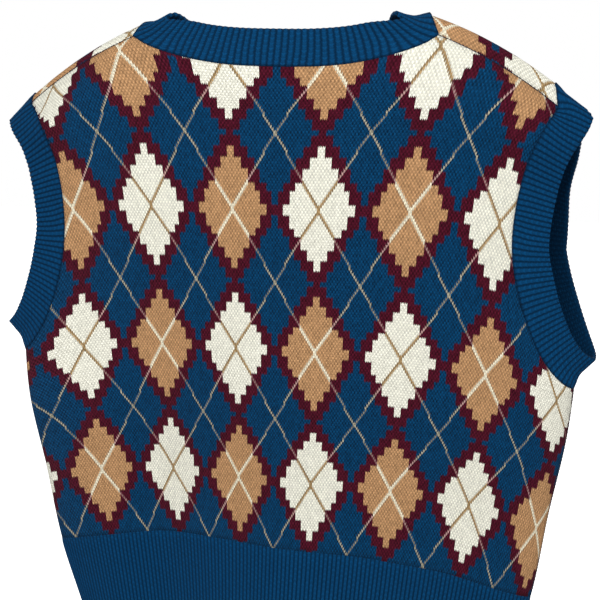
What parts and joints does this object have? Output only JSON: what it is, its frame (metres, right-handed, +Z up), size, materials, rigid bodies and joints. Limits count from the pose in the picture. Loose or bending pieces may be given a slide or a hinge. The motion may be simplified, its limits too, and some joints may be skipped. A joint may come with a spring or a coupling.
{
  "type": "knitted sweater vest",
  "caption": "Sleeveless V-neck sweater vest in argyle jacquard knit, with ribbed neckband, armbands and deep hem, filled out as if worn but hollow.",
  "frame": {"origin": "on the ridge of the shoulders at the middle of the neck opening, where the wearer's shoulders hold it", "axes": "+Z up; -Y the front, with the V; +Y the back; +X the wearer's left"},
  "size_m": [0.4566, 0.149, 0.4941],
  "materials": {
    "argyle_jacquard_knit": "mercerised acrylic and wool blend, argyle jacquard, matt",
    "rib_knit": "one by one rib in the ground colour, matt"
  },
  "bodies": {
    "root": {"back_panel": "argyle_jacquard_knit", "front_panel": "argyle_jacquard_knit", "hem_rib_back": "rib_knit", "hem_rib_front": "rib_knit", "armband_left": "rib_knit", "armband_right": "rib_knit", "neckband": "rib_knit"}
  },
  "joints": []
}
